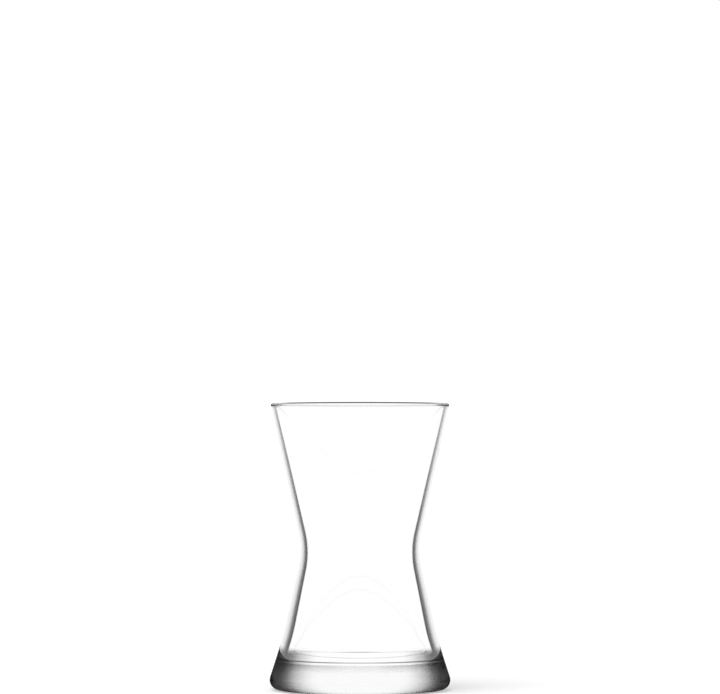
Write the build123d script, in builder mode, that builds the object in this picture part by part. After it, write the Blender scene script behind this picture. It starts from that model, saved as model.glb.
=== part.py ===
"""An hourglass tea glass of clear pressed glass, empty, standing on its heavy foot.

It is one piece: a slim cone that opens to the lip, a rounded waist, a cone that opens to the
foot, and a foot of solid glass under the cavity's floor. The lip is fire-polished to a full
round, and the underside has a shallow hollow, so that the glass stands on a flat ring.

Millimetres, +Z up. The origin is on the table, in the middle of the foot.
"""
from build123d import *
import math
import os

# Outside. The two cones are given where they would meet, before the corner is rounded.
height = 92.0  # table to the top of the lip
lip_reach = 28.65  # axis to the outermost line of the lip
waist_height = 44.9
waist_reach = 18.5  # axis to the corner where the two cones would meet
flare_height = 16.0
flare_reach = 25.05  # axis to the corner where the lower cone would meet the foot's side
foot_reach = 30.2  # axis to the corner where the foot's side would meet the table

# Wall thicknesses, measured level, and the solid glass of the foot.
lip_thickness = 1.4
bowl_wall = 1.02  # at the bowl's bend, before the bend is rounded
bowl_bend_height = 73.0
waist_wall = 2.26
heel_wall = 2.97  # where the cavity begins to flare towards its floor
heel_height = 19.0
floor_wall = 2.8  # beside the cavity's floor, before the floor's corner is rounded
floor_height = 10.0

# Roundings.
waist_round = 26.0
flare_round = 165.0
foot_round = 3.1
cavity_waist_round = 25.0
bowl_bend_round = 290.0
heel_round = 60.0
floor_round = 2.4

# Underside.
hollow_reach = 21.5  # axis to the inner edge of the ring that the glass stands on
hollow_rise = 0.8


def reach_between(low, high, level):
    """The distance from the axis, at a level, of the straight wall from low to high."""
    share = (level - low.Y) / (high.Y - low.Y)
    return low.X + share * (high.X - low.X)


def fitting_round(wanted, before, corner, after):
    """The rounding wanted at a corner, or less where it would take over half of a wall beside it."""
    turn = math.radians((corner - before).get_angle(after - corner))
    room = min((corner - before).length, (after - corner).length) / 2
    return min(wanted, room / math.tan(turn / 2))


def lip_tangent(corner, side):
    """Where the straight wall from corner runs into the lip: side is 1 outside, -1 inside."""
    to_lip = lip_centre - corner
    spread = math.degrees(math.asin(lip_round / to_lip.length))
    run = math.sqrt(to_lip.length ** 2 - lip_round ** 2)
    return corner + to_lip.normalized().rotate(Axis.Z, -side * spread) * run


# The lip is a full round.
lip_round = lip_thickness / 2
lip_centre = Vector(lip_reach - lip_round, height - lip_round)
lip_top = Vector(lip_centre.X, height)

# Corners of the outside, from the table up. X is the distance from the axis and Y the height.
foot_corner = Vector(foot_reach, 0)
flare_corner = Vector(flare_reach, flare_height)
waist_corner = Vector(waist_reach, waist_height)
lip_outside = lip_tangent(waist_corner, 1)

# Corners of the cavity, each set in from the outside by the wall beside it.
floor_outside = reach_between(foot_corner, flare_corner, floor_height)
floor_corner = Vector(floor_outside - floor_wall, floor_height)
heel_outside = reach_between(flare_corner, waist_corner, heel_height)
heel_corner = Vector(heel_outside - heel_wall, heel_height)
cavity_waist = Vector(waist_reach - waist_wall, waist_height)
bend_outside = reach_between(waist_corner, lip_outside, bowl_bend_height)
bowl_bend = Vector(bend_outside - bowl_wall, bowl_bend_height)
lip_inside = lip_tangent(bowl_bend, -1)

# The flat ring that the glass stands on, and the middle of the hollow inside it.
ring_edge = Vector(hollow_reach, 0)
hollow_top = Vector(0, hollow_rise)
floor_middle = Vector(0, floor_height)


# The glass: one half section, turned round the axis.
with BuildPart() as tea_glass:
    with BuildSketch(Plane.XZ) as half_section:
        with BuildLine() as outline:
            hollow_radius = (hollow_reach ** 2 + hollow_rise ** 2) / (2 * hollow_rise)
            flare_radius = fitting_round(flare_round, foot_corner, flare_corner, waist_corner)
            heel_radius = fitting_round(heel_round, cavity_waist, heel_corner, floor_corner)
            RadiusArc(hollow_top, ring_edge, hollow_radius)
            FilletPolyline(
                ring_edge, foot_corner, flare_corner, waist_corner, lip_outside,
                radius=[foot_round, flare_radius, waist_round],
            )
            ThreePointArc(lip_outside, lip_top, lip_inside)
            FilletPolyline(
                lip_inside, bowl_bend, cavity_waist, heel_corner, floor_corner, floor_middle,
                radius=[bowl_bend_round, cavity_waist_round, heel_radius, floor_round],
            )
            Line(floor_middle, hollow_top)
        make_face()
    revolve(axis=Axis.Z)

tea_glass.part.label = "tea_glass"

os.makedirs("parts", exist_ok=True)
export_step(tea_glass.part, "parts/tea_glass.step")

print("volume, cubic centimetres:", round(tea_glass.part.volume / 1000, 2))
print("size, millimetres:", tea_glass.part.bounding_box().size)
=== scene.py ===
import math

import bpy
from mathutils import Matrix, Vector


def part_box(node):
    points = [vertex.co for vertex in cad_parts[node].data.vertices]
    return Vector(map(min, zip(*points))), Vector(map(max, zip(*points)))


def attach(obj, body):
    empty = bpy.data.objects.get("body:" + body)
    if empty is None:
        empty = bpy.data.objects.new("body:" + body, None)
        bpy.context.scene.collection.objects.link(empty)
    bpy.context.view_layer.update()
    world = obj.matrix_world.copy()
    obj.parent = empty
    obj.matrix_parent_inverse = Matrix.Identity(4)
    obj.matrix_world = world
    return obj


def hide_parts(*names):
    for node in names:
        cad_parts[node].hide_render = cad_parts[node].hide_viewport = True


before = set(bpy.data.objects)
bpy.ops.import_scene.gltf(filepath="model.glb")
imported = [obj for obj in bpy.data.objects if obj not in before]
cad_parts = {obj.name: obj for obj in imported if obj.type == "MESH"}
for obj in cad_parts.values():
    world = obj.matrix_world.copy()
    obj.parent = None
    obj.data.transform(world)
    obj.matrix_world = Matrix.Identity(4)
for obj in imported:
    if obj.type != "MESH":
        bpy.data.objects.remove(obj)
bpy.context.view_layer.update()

scene = bpy.context.scene


# ---------------------------------------------------------------------------------------------
# The glass. One piece of soda-lime glass, pressed in a mould and fire-polished: a cone that opens to
# the lip, a rounded waist, a cone that opens to the foot, and a foot of solid glass. It is turned
# here from one half section, given by its corners and their roundings.
# ---------------------------------------------------------------------------------------------
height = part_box("tea_glass")[1].z        # table to the top of the lip
lip_reach = 0.02865                      # axis to the outermost line of the lip
waist_height = 0.0449
waist_reach = 0.0185                     # where the two cones would meet
flare_height = 0.016
flare_reach = 0.02505
foot_reach = 0.0302                      # where the foot's side would meet the table
floor_height = 0.010                     # the solid glass under the cavity

lip_thickness = 0.0014
bowl_wall = 0.00102                      # walls are measured level
bowl_bend_height = 0.073
waist_wall = 0.00226
heel_wall = 0.00297                      # where the cavity begins to flare towards its floor
heel_height = 0.019
floor_wall = 0.0028

waist_round = 0.026
flare_round = 0.165
foot_round = 0.0031
cavity_waist_round = 0.025
bowl_bend_round = 0.290
heel_round = 0.060
floor_round = 0.0024

hollow_reach = 0.0215                    # the shallow hollow under the foot
hollow_rise = 0.0008
hollow_round = (hollow_reach ** 2 + hollow_rise ** 2) / (2 * hollow_rise)

steps_round = 360                        # faces round the glass
steps_rounding = 26                      # points on each rounding of the half section
weld = 1e-6                              # points nearer than this are one point


def reach_at(low, high, level):
    """The distance from the axis, at a level, of the straight wall through low and high."""
    return low.x + (high.x - low.x) * (level - low.y) / (high.y - low.y)


def lip_corner(corner, side):
    """Where the wall from corner, run on past the lip's round, meets the lip's top level."""
    centre = Vector((lip_reach - lip_thickness / 2, height - lip_thickness / 2))
    to_lip = centre - corner
    spread = math.asin(lip_thickness / 2 / to_lip.length)
    along = Matrix.Rotation(-side * spread, 2) @ to_lip
    return Vector((reach_at(corner, corner + along, height), height))


foot_corner = Vector((foot_reach, 0))
flare_corner = Vector((flare_reach, flare_height))
waist_corner = Vector((waist_reach, waist_height))
lip_outside = lip_corner(waist_corner, 1)
cavity_waist = Vector((waist_reach - waist_wall, waist_height))
bend_outside = reach_at(waist_corner, lip_outside, bowl_bend_height)
bowl_bend = Vector((bend_outside - bowl_wall, bowl_bend_height))
lip_inside = lip_corner(bowl_bend, -1)
heel_corner = Vector((reach_at(flare_corner, waist_corner, heel_height) - heel_wall, heel_height))
floor_outside = reach_at(foot_corner, flare_corner, floor_height)
floor_corner = Vector((floor_outside - floor_wall, floor_height))

half_section = [                         # corner, rounding
    (Vector((0, hollow_rise)), 0),
    (Vector((hollow_reach / 2, hollow_rise)), hollow_round),
    (Vector((hollow_reach, 0)), 0),
    (foot_corner, foot_round),
    (flare_corner, flare_round),
    (waist_corner, waist_round),
    (lip_outside, lip_thickness / 2),
    (lip_inside, lip_thickness / 2),
    (bowl_bend, bowl_bend_round),
    (cavity_waist, cavity_waist_round),
    (heel_corner, heel_round),
    (floor_corner, floor_round),
    (Vector((0, floor_height)), 0),
]


def add(tree, kind, inputs=None, **settings):
    """Adds a node to a tree, with its settings, and sets or links its inputs by name or number."""
    made = tree.nodes.new(kind)
    for name, value in settings.items():
        setattr(made, name, value)
    for key, value in (inputs or {}).items():
        if isinstance(value, bpy.types.NodeSocket):
            tree.links.new(value, made.inputs[key])
        else:
            made.inputs[key].default_value = value
    return made


def linear(hex_colour):
    """A colour written as sRGB hex, as the linear colour that the shaders take."""
    parts = [int(hex_colour[i:i + 2], 16) / 255 for i in (1, 3, 5)]
    return [c / 12.92 if c <= 0.04045 else ((c + 0.055) / 1.055) ** 2.4 for c in parts] + [1]


# Soda-lime glass, pressed and fire-polished: clear and all but colourless, with a skin so smooth
# that only the faintest waves of the cooling glass are left in it. Its colour holds painted shade.
pressed_glass = bpy.data.materials.new("soda-lime glass, pressed, fire-polished")
pressed_glass.use_nodes = True
tree = pressed_glass.node_tree
tree.nodes.clear()
clear = linear("#FFFFFF")
over_one = 1.0001                        # a hair over one, so that nothing is divided by nought
where = add(tree, "ShaderNodeTexCoord").outputs
height_here = add(tree, "ShaderNodeSeparateXYZ", {0: where["Object"]}).outputs["Z"]
lean = add(tree, "ShaderNodeSeparateXYZ", {0: where["Normal"]}).outputs["Z"]

# Clear glass hardly shows in a white room. Its colour is darkened here with painted shade where glass
# against a bright ground looks dark, as it bends light furthest there: in the wall just outside the
# cavity's edge, on that edge itself, and up the sides of the solid foot. Slant is nought where the
# glass faces the eye and one where it turns away; level slant leaves out its lean up or down.
facing = add(tree, "ShaderNodeLayerWeight", {"Blend": 0.5}).outputs["Facing"]
square_on = add(tree, "ShaderNodeMath", {0: 1, 1: facing}, operation="SUBTRACT").outputs[0]
squared = add(tree, "ShaderNodeMath", {0: square_on, 1: 2}, operation="POWER").outputs[0]
rest = add(tree, "ShaderNodeMath", {0: 1, 1: squared}, operation="SUBTRACT", use_clamp=True).outputs[0]
slant = add(tree, "ShaderNodeMath", {0: rest, 1: 0.5}, operation="POWER").outputs[0]
lean_squared = add(tree, "ShaderNodeMath", {0: lean, 1: lean}, operation="MULTIPLY").outputs[0]
level_part = add(tree, "ShaderNodeMath", {0: over_one, 1: lean_squared}, operation="SUBTRACT").outputs[0]
level_square = add(tree, "ShaderNodeMath", {
    0: squared, 1: level_part}, operation="DIVIDE", use_clamp=True).outputs[0]
level_rest = add(tree, "ShaderNodeMath", {
    0: 1, 1: level_square}, operation="SUBTRACT", use_clamp=True).outputs[0]
level_slant = add(tree, "ShaderNodeMath", {0: level_rest, 1: 0.5}, operation="POWER").outputs[0]

# The wall's painted shade: nought at the cavity's edge and one at the outline. A thin wall darkens less.
# Its thickness is told by how far out the cavity's edge is, as a share of the outline's reach.
inside_reach = 0.25                      # how far inside the cavity's edge the ramp begins
thick_edge = 0.90
thin_edge = 0.965
thin_lightening = 0.4
edge = add(tree, "ShaderNodeAttribute", attribute_name="cavity edge").outputs["Fac"]
past_edge = add(tree, "ShaderNodeMath", {0: slant, 1: edge}, operation="SUBTRACT").outputs[0]
wall_width = add(tree, "ShaderNodeMath", {0: over_one, 1: edge}, operation="SUBTRACT").outputs[0]
through_wall = add(tree, "ShaderNodeMath", {0: past_edge, 1: wall_width}, operation="DIVIDE").outputs[0]
wall_place = add(tree, "ShaderNodeMapRange", {
    "Value": through_wall, "From Min": -inside_reach, "From Max": 1}).outputs[0]
wall_ramp = add(tree, "ShaderNodeValToRGB", {0: wall_place})
thinness = add(tree, "ShaderNodeMapRange", {
    "Value": edge, "From Min": thick_edge, "From Max": thin_edge, "To Max": thin_lightening}).outputs[0]
wall_shade = add(tree, "ShaderNodeMix", {
    0: thinness, 6: wall_ramp.outputs[0], 7: clear}, data_type="RGBA").outputs[2]

# The foot's painted shade, with a painted dark line round it, set by height, where the rounded edge of
# the cavity's floor would show, and a soft painted shade below that line. Both deepen towards the outline.
heel_top = 0.012
heel_deepening = 2
foot_ramp = add(tree, "ShaderNodeValToRGB", {0: level_slant})
heel_place = add(tree, "ShaderNodeMath", {0: height_here, 1: heel_top}, operation="DIVIDE").outputs[0]
heel_ramp = add(tree, "ShaderNodeValToRGB", {0: heel_place})
heel_depth = add(tree, "ShaderNodeMath", {
    0: level_slant, 1: heel_deepening, 2: 1}, operation="MULTIPLY_ADD").outputs[0]
heel_shade = add(tree, "ShaderNodeMath", {
    0: heel_ramp.outputs[0], 1: heel_depth}, operation="POWER").outputs[0]
foot_shade = add(tree, "ShaderNodeVectorMath", {
    0: foot_ramp.outputs[0], 1: heel_shade}, operation="MULTIPLY").outputs[0]

# The cavity: painted shade at the very edge of its wall, and a painted line on its floor's rounded edge.
cavity_ramp = add(tree, "ShaderNodeValToRGB", {0: slant})
cavity_wall = add(tree, "ShaderNodeAttribute", attribute_name="cavity wall").outputs["Fac"]
wall_inside = add(tree, "ShaderNodeMix", {
    0: cavity_wall, 6: clear, 7: cavity_ramp.outputs[0]}, data_type="RGBA").outputs[2]
# The floor's bend is painted dark grey.
floor_bend = add(tree, "ShaderNodeAttribute", attribute_name="floor bend").outputs["Fac"]
inner_shade = add(tree, "ShaderNodeMix", {
    0: floor_bend, 6: wall_inside, 7: linear("#383838")}, data_type="RGBA").outputs[2]

# The lip: a painted dark line along the top of its inner side, which shows on the far side of the glass,
# and along its outer side a painted one that deepens to the ends. Each starts where the surface leans up
# by the first of its two shares, and is whole from the second.
far_lean = (0.3, 0.55)
near_lean = (0.1, 0.35)
outside = add(tree, "ShaderNodeAttribute", attribute_name="outside").outputs["Fac"]
far_top = add(tree, "ShaderNodeMapRange", {
    "Value": lean, "From Min": far_lean[0], "From Max": far_lean[1]}).outputs[0]
near_top = add(tree, "ShaderNodeMapRange", {
    "Value": lean, "From Min": near_lean[0], "From Max": near_lean[1]}).outputs[0]
on_top = add(tree, "ShaderNodeMix", {0: outside, 2: far_top, 3: near_top}).outputs[0]
lip_side_ramp = add(tree, "ShaderNodeValToRGB", {0: slant})
near_lip_ramp = add(tree, "ShaderNodeValToRGB", {0: level_slant})
far_lip_ramp = add(tree, "ShaderNodeValToRGB", {0: level_slant})
lip_line = add(tree, "ShaderNodeMix", {
    0: outside, 6: far_lip_ramp.outputs[0], 7: near_lip_ramp.outputs[0]}, data_type="RGBA").outputs[2]
lip_shade = add(tree, "ShaderNodeMix", {
    0: on_top, 6: lip_side_ramp.outputs[0], 7: lip_line}, data_type="RGBA").outputs[2]

# Each ramp's greys of painted shade: where along the ramp, and what share of the light is let through.
wall_greys = [(-0.25, 1), (-0.06, 1), (0.03, 0.02), (0.15, 0.03), (0.3, 0.10), (0.45, 0.36),
              (0.6, 0.66), (0.75, 0.8), (1, 0.9)]
heel_greys = [(6.8, 1), (8.6, 0.86), (9.1, 0.76), (9.45, 1), (9.9, 1), (10.05, 0.5),
              (10.25, 0.5), (10.4, 1), (12, 1)]                # by height in millimetres
for ramp, greys in (
        (wall_ramp, [((at + inside_reach) / (1 + inside_reach), grey) for at, grey in wall_greys]),
        (foot_ramp, [(0, 1), (0.42, 1), (0.5, 0.97), (0.58, 0.86), (0.66, 0.68), (0.73, 0.48),
                     (0.8, 0.22), (0.85, 0.115), (0.9, 0.065), (1, 0.05)]),
        (heel_ramp, [(at / 1000 / heel_top, grey) for at, grey in heel_greys]),
        (cavity_ramp, [(0, 1), (0.985, 1), (1, 0.12)]),
        (lip_side_ramp, [(0, 1), (0.9, 1), (0.96, 0.2), (1, 0.03)]),
        (near_lip_ramp, [(0, 0.82), (0.8, 0.74), (0.85, 0.55), (0.89, 0.22), (0.92, 0.06), (1, 0.01)]),
        (far_lip_ramp, [(0, 0.05), (0.8, 0.05), (0.93, 0.45), (1, 0.6)])):
    marks = ramp.color_ramp.elements
    while len(marks) < len(greys):
        marks.new(0.5)
    for mark, (at, grey) in zip(marks, greys):
        mark.position = at
        mark.color = (grey, grey, grey, 1)

# Outside, the foot goes over into the wall, and the wall into the lip. Only light that meets the
# glass from the air gets painted shade; the shader takes the root of a tint, so the shade is squared.
foot_end = 0.0121
wall_start = 0.0146
in_wall = add(tree, "ShaderNodeMapRange", {
    "Value": height_here, "From Min": foot_end, "From Max": wall_start},
    interpolation_type="SMOOTHSTEP").outputs[0]
outside_shade = add(tree, "ShaderNodeMix", {
    0: in_wall, 6: foot_shade, 7: wall_shade}, data_type="RGBA").outputs[2]
side_shade = add(tree, "ShaderNodeMix", {
    0: outside, 6: inner_shade, 7: outside_shade}, data_type="RGBA").outputs[2]
in_lip = add(tree, "ShaderNodeMapRange", {
    "Value": height_here, "From Min": height - lip_thickness,
    "From Max": height - lip_thickness / 2}).outputs[0]
skin_shade = add(tree, "ShaderNodeMix", {
    0: in_lip, 6: side_shade, 7: lip_shade}, data_type="RGBA").outputs[2]
from_inside = add(tree, "ShaderNodeNewGeometry").outputs["Backfacing"]
shade = add(tree, "ShaderNodeMix", {
    0: from_inside, 6: skin_shade, 7: clear}, data_type="RGBA").outputs[2]
# The painted shade, squared, goes in as the glass's base colour.
painted_shade_squared = add(tree, "ShaderNodeVectorMath", {0: shade, 1: shade}, operation="MULTIPLY").outputs[0]

# The waves of the skin are long and very shallow.
wave_length = 0.011
wave_depth = 0.000004
waves = add(tree, "ShaderNodeTexNoise", {
    "Vector": where["Object"], "Scale": 1 / wave_length, "Detail": 1.0, "Roughness": 0.4}).outputs[0]
skin = add(tree, "ShaderNodeBump", {
    "Height": waves, "Strength": 1.0, "Distance": wave_depth}).outputs[0]
shader = add(tree, "ShaderNodeBsdfPrincipled", {
    "Base Color": painted_shade_squared, "Normal": skin, "Transmission Weight": 1.0, "IOR": 1.52, "Roughness": 0.0})
add(tree, "ShaderNodeOutputMaterial", {"Surface": shader.outputs["BSDF"]})

# The half section as a line of corners, each carrying its rounding.
section_mesh = bpy.data.meshes.new("half_section")
section_mesh.from_pydata(
    [(corner.x, 0, corner.y) for corner, _ in half_section],
    [(i, i + 1) for i in range(len(half_section) - 1)], [])
rounding = section_mesh.attributes.new("rounding", "FLOAT", "POINT")
for i, (_, radius) in enumerate(half_section):
    rounding.data[i].value = radius
tea_glass = bpy.data.objects.new("tea_glass_turned", section_mesh)
scene.collection.objects.link(tea_glass)

# The turning: the corners are rounded, and the section is carried round the axis.
turning = bpy.data.node_groups.new("turned from a half section", "GeometryNodeTree")
face = turning.interface
face.new_socket("Half Section", in_out="INPUT", socket_type="NodeSocketGeometry")
face.new_socket("Steps Round", in_out="INPUT", socket_type="NodeSocketInt")
face.new_socket("Steps Rounding", in_out="INPUT", socket_type="NodeSocketInt")
face.new_socket("Material", in_out="INPUT", socket_type="NodeSocketMaterial")
face.new_socket("Glass", in_out="OUTPUT", socket_type="NodeSocketGeometry")
given = add(turning, "NodeGroupInput").outputs
line = add(turning, "GeometryNodeMeshToCurve", {"Mesh": given["Half Section"]})
radius = add(turning, "GeometryNodeInputNamedAttribute", {"Name": "rounding"}, data_type="FLOAT")
rounded = add(turning, "GeometryNodeFilletCurve", {
    "Curve": line.outputs["Curve"], "Radius": radius.outputs["Attribute"],
    "Count": given["Steps Rounding"], "Limit Radius": True}, mode="POLY")
size = add(turning, "GeometryNodeAttributeDomainSize", {0: rounded.outputs["Curve"]}, component="CURVE")
columns = add(turning, "FunctionNodeIntegerMath", {0: given["Steps Round"], 1: 1}, operation="ADD")
grid = add(turning, "GeometryNodeMeshGrid", {
    "Vertices X": size.outputs["Point Count"], "Vertices Y": columns.outputs[0]})
index = add(turning, "GeometryNodeInputIndex").outputs[0]
row = add(turning, "FunctionNodeIntegerMath", {0: index, 1: columns.outputs[0]}, operation="DIVIDE_FLOOR")
column = add(turning, "FunctionNodeIntegerMath", {0: index, 1: columns.outputs[0]}, operation="MODULO")
turn = add(turning, "ShaderNodeMath", {0: column.outputs[0], 1: given["Steps Round"]}, operation="DIVIDE")
angle = add(turning, "ShaderNodeMath", {0: turn.outputs[0], 1: 2 * math.pi}, operation="MULTIPLY")
place = add(turning, "GeometryNodeInputPosition").outputs[0]
on_section = add(turning, "GeometryNodeSampleIndex", {
    "Geometry": rounded.outputs["Curve"], "Value": place, "Index": row.outputs[0]},
    data_type="FLOAT_VECTOR", domain="POINT")
carried = add(turning, "ShaderNodeVectorRotate", {
    "Vector": on_section.outputs["Value"], "Angle": angle.outputs[0]}, rotation_type="Z_AXIS")
skin = add(turning, "GeometryNodeSetPosition", {
    "Geometry": grid.outputs["Mesh"], "Position": carried.outputs[0]})
closed = add(turning, "GeometryNodeMergeByDistance", {
    "Geometry": skin.outputs[0], "Distance": weld})
outward = add(turning, "GeometryNodeFlipFaces", {"Mesh": closed.outputs[0]})
smooth = add(turning, "GeometryNodeSetShadeSmooth", {"Geometry": outward.outputs[0]})
real = add(turning, "GeometryNodeRealizeInstances", {"Geometry": smooth.outputs[0]})
finished = add(turning, "GeometryNodeSetMaterial", {
    "Geometry": real.outputs[0], "Material": given["Material"]})
add(turning, "NodeGroupOutput", {"Glass": finished.outputs[0]})

turned = tea_glass.modifiers.new("turning", "NODES")
turned.node_group = turning
values = {"Steps Round": steps_round, "Steps Rounding": steps_rounding, "Material": pressed_glass}
for socket in face.items_tree:
    if socket.in_out == "INPUT" and socket.name in values:
        turned[socket.identifier] = values[socket.name]
mesh = bpy.data.meshes.new_from_object(tea_glass.evaluated_get(bpy.context.evaluated_depsgraph_get()))
tea_glass.modifiers.clear()
tea_glass.data = mesh

# Each point knows how far out the cavity's edge is, as a share of its own reach, whether it is on the
# outside, how much it belongs to the cavity's upright wall, and how near it is to the floor's bend.
# These four values place the painted shade on the glass.
turned_in = -0.05                        # the cavity's wall faces the axis by at least this
upright = 0.5                            # up to this lean, a point belongs wholly to a wall
not_upright = 0.8                        # and from this one not at all
bend_lean = 0.89                         # the middle of the line on the floor's bend
bend_spread = 0.1
floor_margin = 0.0001                    # still counted as the floor, below it
level_digits = 7
section = sorted((v.co.z, v.co.x, v.normal.x) for v in mesh.vertices if v.co.x > 0 and abs(v.co.y) < weld)
cavity_line = [(z, x) for z, x, facing_out in section if facing_out < turned_in and z > floor_height]


def cavity_reach(level):
    """The distance from the axis to the cavity's wall at a level, or at its nearest end."""
    for (low, near), (high, far) in zip(cavity_line, cavity_line[1:]):
        if low <= level <= high:
            return near + (far - near) * (level - low) / max(high - low, weld)
    return cavity_line[-1][1] if level > cavity_line[-1][0] else cavity_line[0][1]


cavity_at = {}
edge_share = mesh.attributes.new("cavity edge", "FLOAT", "POINT")
is_outside = mesh.attributes.new("outside", "FLOAT", "POINT")
on_wall = mesh.attributes.new("cavity wall", "FLOAT", "POINT")
on_bend = mesh.attributes.new("floor bend", "FLOAT", "POINT")
for v in mesh.vertices:
    reach = v.co.xy.length
    level = round(v.co.z, level_digits)
    if level not in cavity_at:
        cavity_at[level] = cavity_reach(level)
    edge_share.data[v.index].value = min(cavity_at[level] / max(reach, weld), 1)
    is_outside.data[v.index].value = float(v.co.x * v.normal.x + v.co.y * v.normal.y > 0 and reach > 0)
    uprightness = (not_upright - abs(v.normal.z)) / (not_upright - upright)
    on_wall.data[v.index].value = min(max(uprightness, 0), 1)
    in_bend = floor_height - floor_margin < v.co.z < floor_height + floor_round
    off_line = abs(v.normal.z - bend_lean) / bend_spread if in_bend else 1
    on_bend.data[v.index].value = min(2 * max(1 - off_line, 0), 1)

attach(tea_glass, "root")
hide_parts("tea_glass")


# ---------------------------------------------------------------------------------------------
# The camera: far off, a little above the lip, with a long lens, so that it looks almost level. It
# is aimed above the glass, which stands at the foot of the picture.
# ---------------------------------------------------------------------------------------------
eye = Vector((0, -1.8, 0.123))
aim = Vector((0, 0, 0.1101))
camera_data = bpy.data.cameras.new("camera")
camera_data.lens = 280
camera = bpy.data.objects.new("camera", camera_data)
camera.location = eye
camera.rotation_euler = (aim - eye).to_track_quat("-Z", "Y").to_euler()
scene.collection.objects.link(camera)
scene.camera = camera


# ---------------------------------------------------------------------------------------------
# The table: a sheet of white paper that runs out of sight. It shows as white to the camera and takes
# the glass's soft shadow. In and through the glass the white room shows in its place.
# ---------------------------------------------------------------------------------------------
paper_reach = 30.0
paper_drop = 0.0002                      # a gap, so that the foot and the paper never share a face
paper_glow = 0.2                         # lifts the paper to white for the camera alone
paper_mesh = bpy.data.meshes.new("table")
paper_mesh.from_pydata(
    [(x, y, 0) for x, y in ((-paper_reach, -paper_reach), (paper_reach, -paper_reach),
                            (paper_reach, paper_reach), (-paper_reach, paper_reach))],
    [], [(0, 1, 2, 3)])
table = bpy.data.objects.new("table", paper_mesh)
table.location.z = -paper_drop
scene.collection.objects.link(table)
table.visible_transmission = False
table.visible_glossy = False
paper = bpy.data.materials.new("white paper")
paper.use_nodes = True
tree = paper.node_tree
tree.nodes.clear()
matt = add(tree, "ShaderNodeBsdfDiffuse", {"Color": linear("#F2F2F2")}).outputs[0]
glow = add(tree, "ShaderNodeEmission", {"Color": linear("#FFFFFF"), "Strength": paper_glow}).outputs[0]
lit = add(tree, "ShaderNodeAddShader", {0: matt, 1: glow}).outputs[0]
path = add(tree, "ShaderNodeLightPath").outputs
seen = add(tree, "ShaderNodeMixShader", {0: path["Is Camera Ray"], 1: matt, 2: lit}).outputs[0]
add(tree, "ShaderNodeOutputMaterial", {"Surface": seen})
paper_mesh.materials.append(paper)


# ---------------------------------------------------------------------------------------------
# The light: a white room, and one broad soft lamp from above. The room is white to the camera, in
# the glass and in what mirrors off it, and dimmer for the light that it gives.
# ---------------------------------------------------------------------------------------------
scene.view_settings.view_transform = "Standard"
bounces = 128                            # light is turned back many times inside the solid foot
scene.cycles.max_bounces = bounces
scene.cycles.glossy_bounces = bounces
scene.cycles.transmission_bounces = bounces

room_light = 0.6
room = bpy.data.worlds.new("white room")
scene.world = room
room.use_nodes = True
tree = room.node_tree
tree.nodes.clear()
path = add(tree, "ShaderNodeLightPath").outputs
in_glass = add(tree, "ShaderNodeMath", {
    0: path["Is Glossy Ray"], 1: path["Is Transmission Ray"]}, operation="MAXIMUM").outputs[0]
seen = add(tree, "ShaderNodeMath", {0: path["Is Camera Ray"], 1: in_glass}, operation="MAXIMUM").outputs[0]
strength = add(tree, "ShaderNodeMix", {0: seen, 2: room_light, 3: 1.0}).outputs[0]
sky = add(tree, "ShaderNodeBackground", {"Color": linear("#FFFFFF"), "Strength": strength}).outputs[0]
add(tree, "ShaderNodeOutputWorld", {"Surface": sky})

lamp_data = bpy.data.lights.new("soft lamp", "SUN")
lamp_data.energy = 1.5
lamp_data.angle = math.radians(60)
lamp = bpy.data.objects.new("soft_lamp", lamp_data)
lamp.rotation_euler = (math.radians(30), 0, math.radians(-35))
scene.collection.objects.link(lamp)
lamp.visible_glossy = False
lamp.visible_transmission = False


# ---------------------------------------------------------------------------------------------
# Black card: a tray under and round the foot, and a ring round the lip. It shows only where it
# mirrors off the glass, and keeps the sides of the foot and of the lip dark up to their edge.
# ---------------------------------------------------------------------------------------------
card_reach = 0.036
tray_height = 0.0139
ring_low = height - 0.0015
ring_high = height + 0.002
card_levels = (-paper_drop, tray_height, ring_low, ring_high)
card_steps = 96
turns = [2 * math.pi * i / card_steps for i in range(card_steps)]
card_sides = []
for start in (0, 2 * card_steps):        # the tray's side, then the ring
    for i in range(card_steps):
        after = (i + 1) % card_steps
        card_sides.append((start + i, start + after, start + after + card_steps, start + i + card_steps))
card_mesh = bpy.data.meshes.new("black_card")
card_mesh.from_pydata(
    [(card_reach * math.cos(turn), card_reach * math.sin(turn), level)
     for level in card_levels for turn in turns],
    [], card_sides + [tuple(range(card_steps))])
card = bpy.data.objects.new("black_card", card_mesh)
scene.collection.objects.link(card)
card.visible_camera = False
card.visible_diffuse = False
card.visible_transmission = False
card.visible_shadow = False
black = bpy.data.materials.new("black card")
black.use_nodes = True
tree = black.node_tree
tree.nodes.clear()
matt = add(tree, "ShaderNodeBsdfDiffuse", {"Color": linear("#2A2A2A")}).outputs[0]
add(tree, "ShaderNodeOutputMaterial", {"Surface": matt})
card_mesh.materials.append(black)
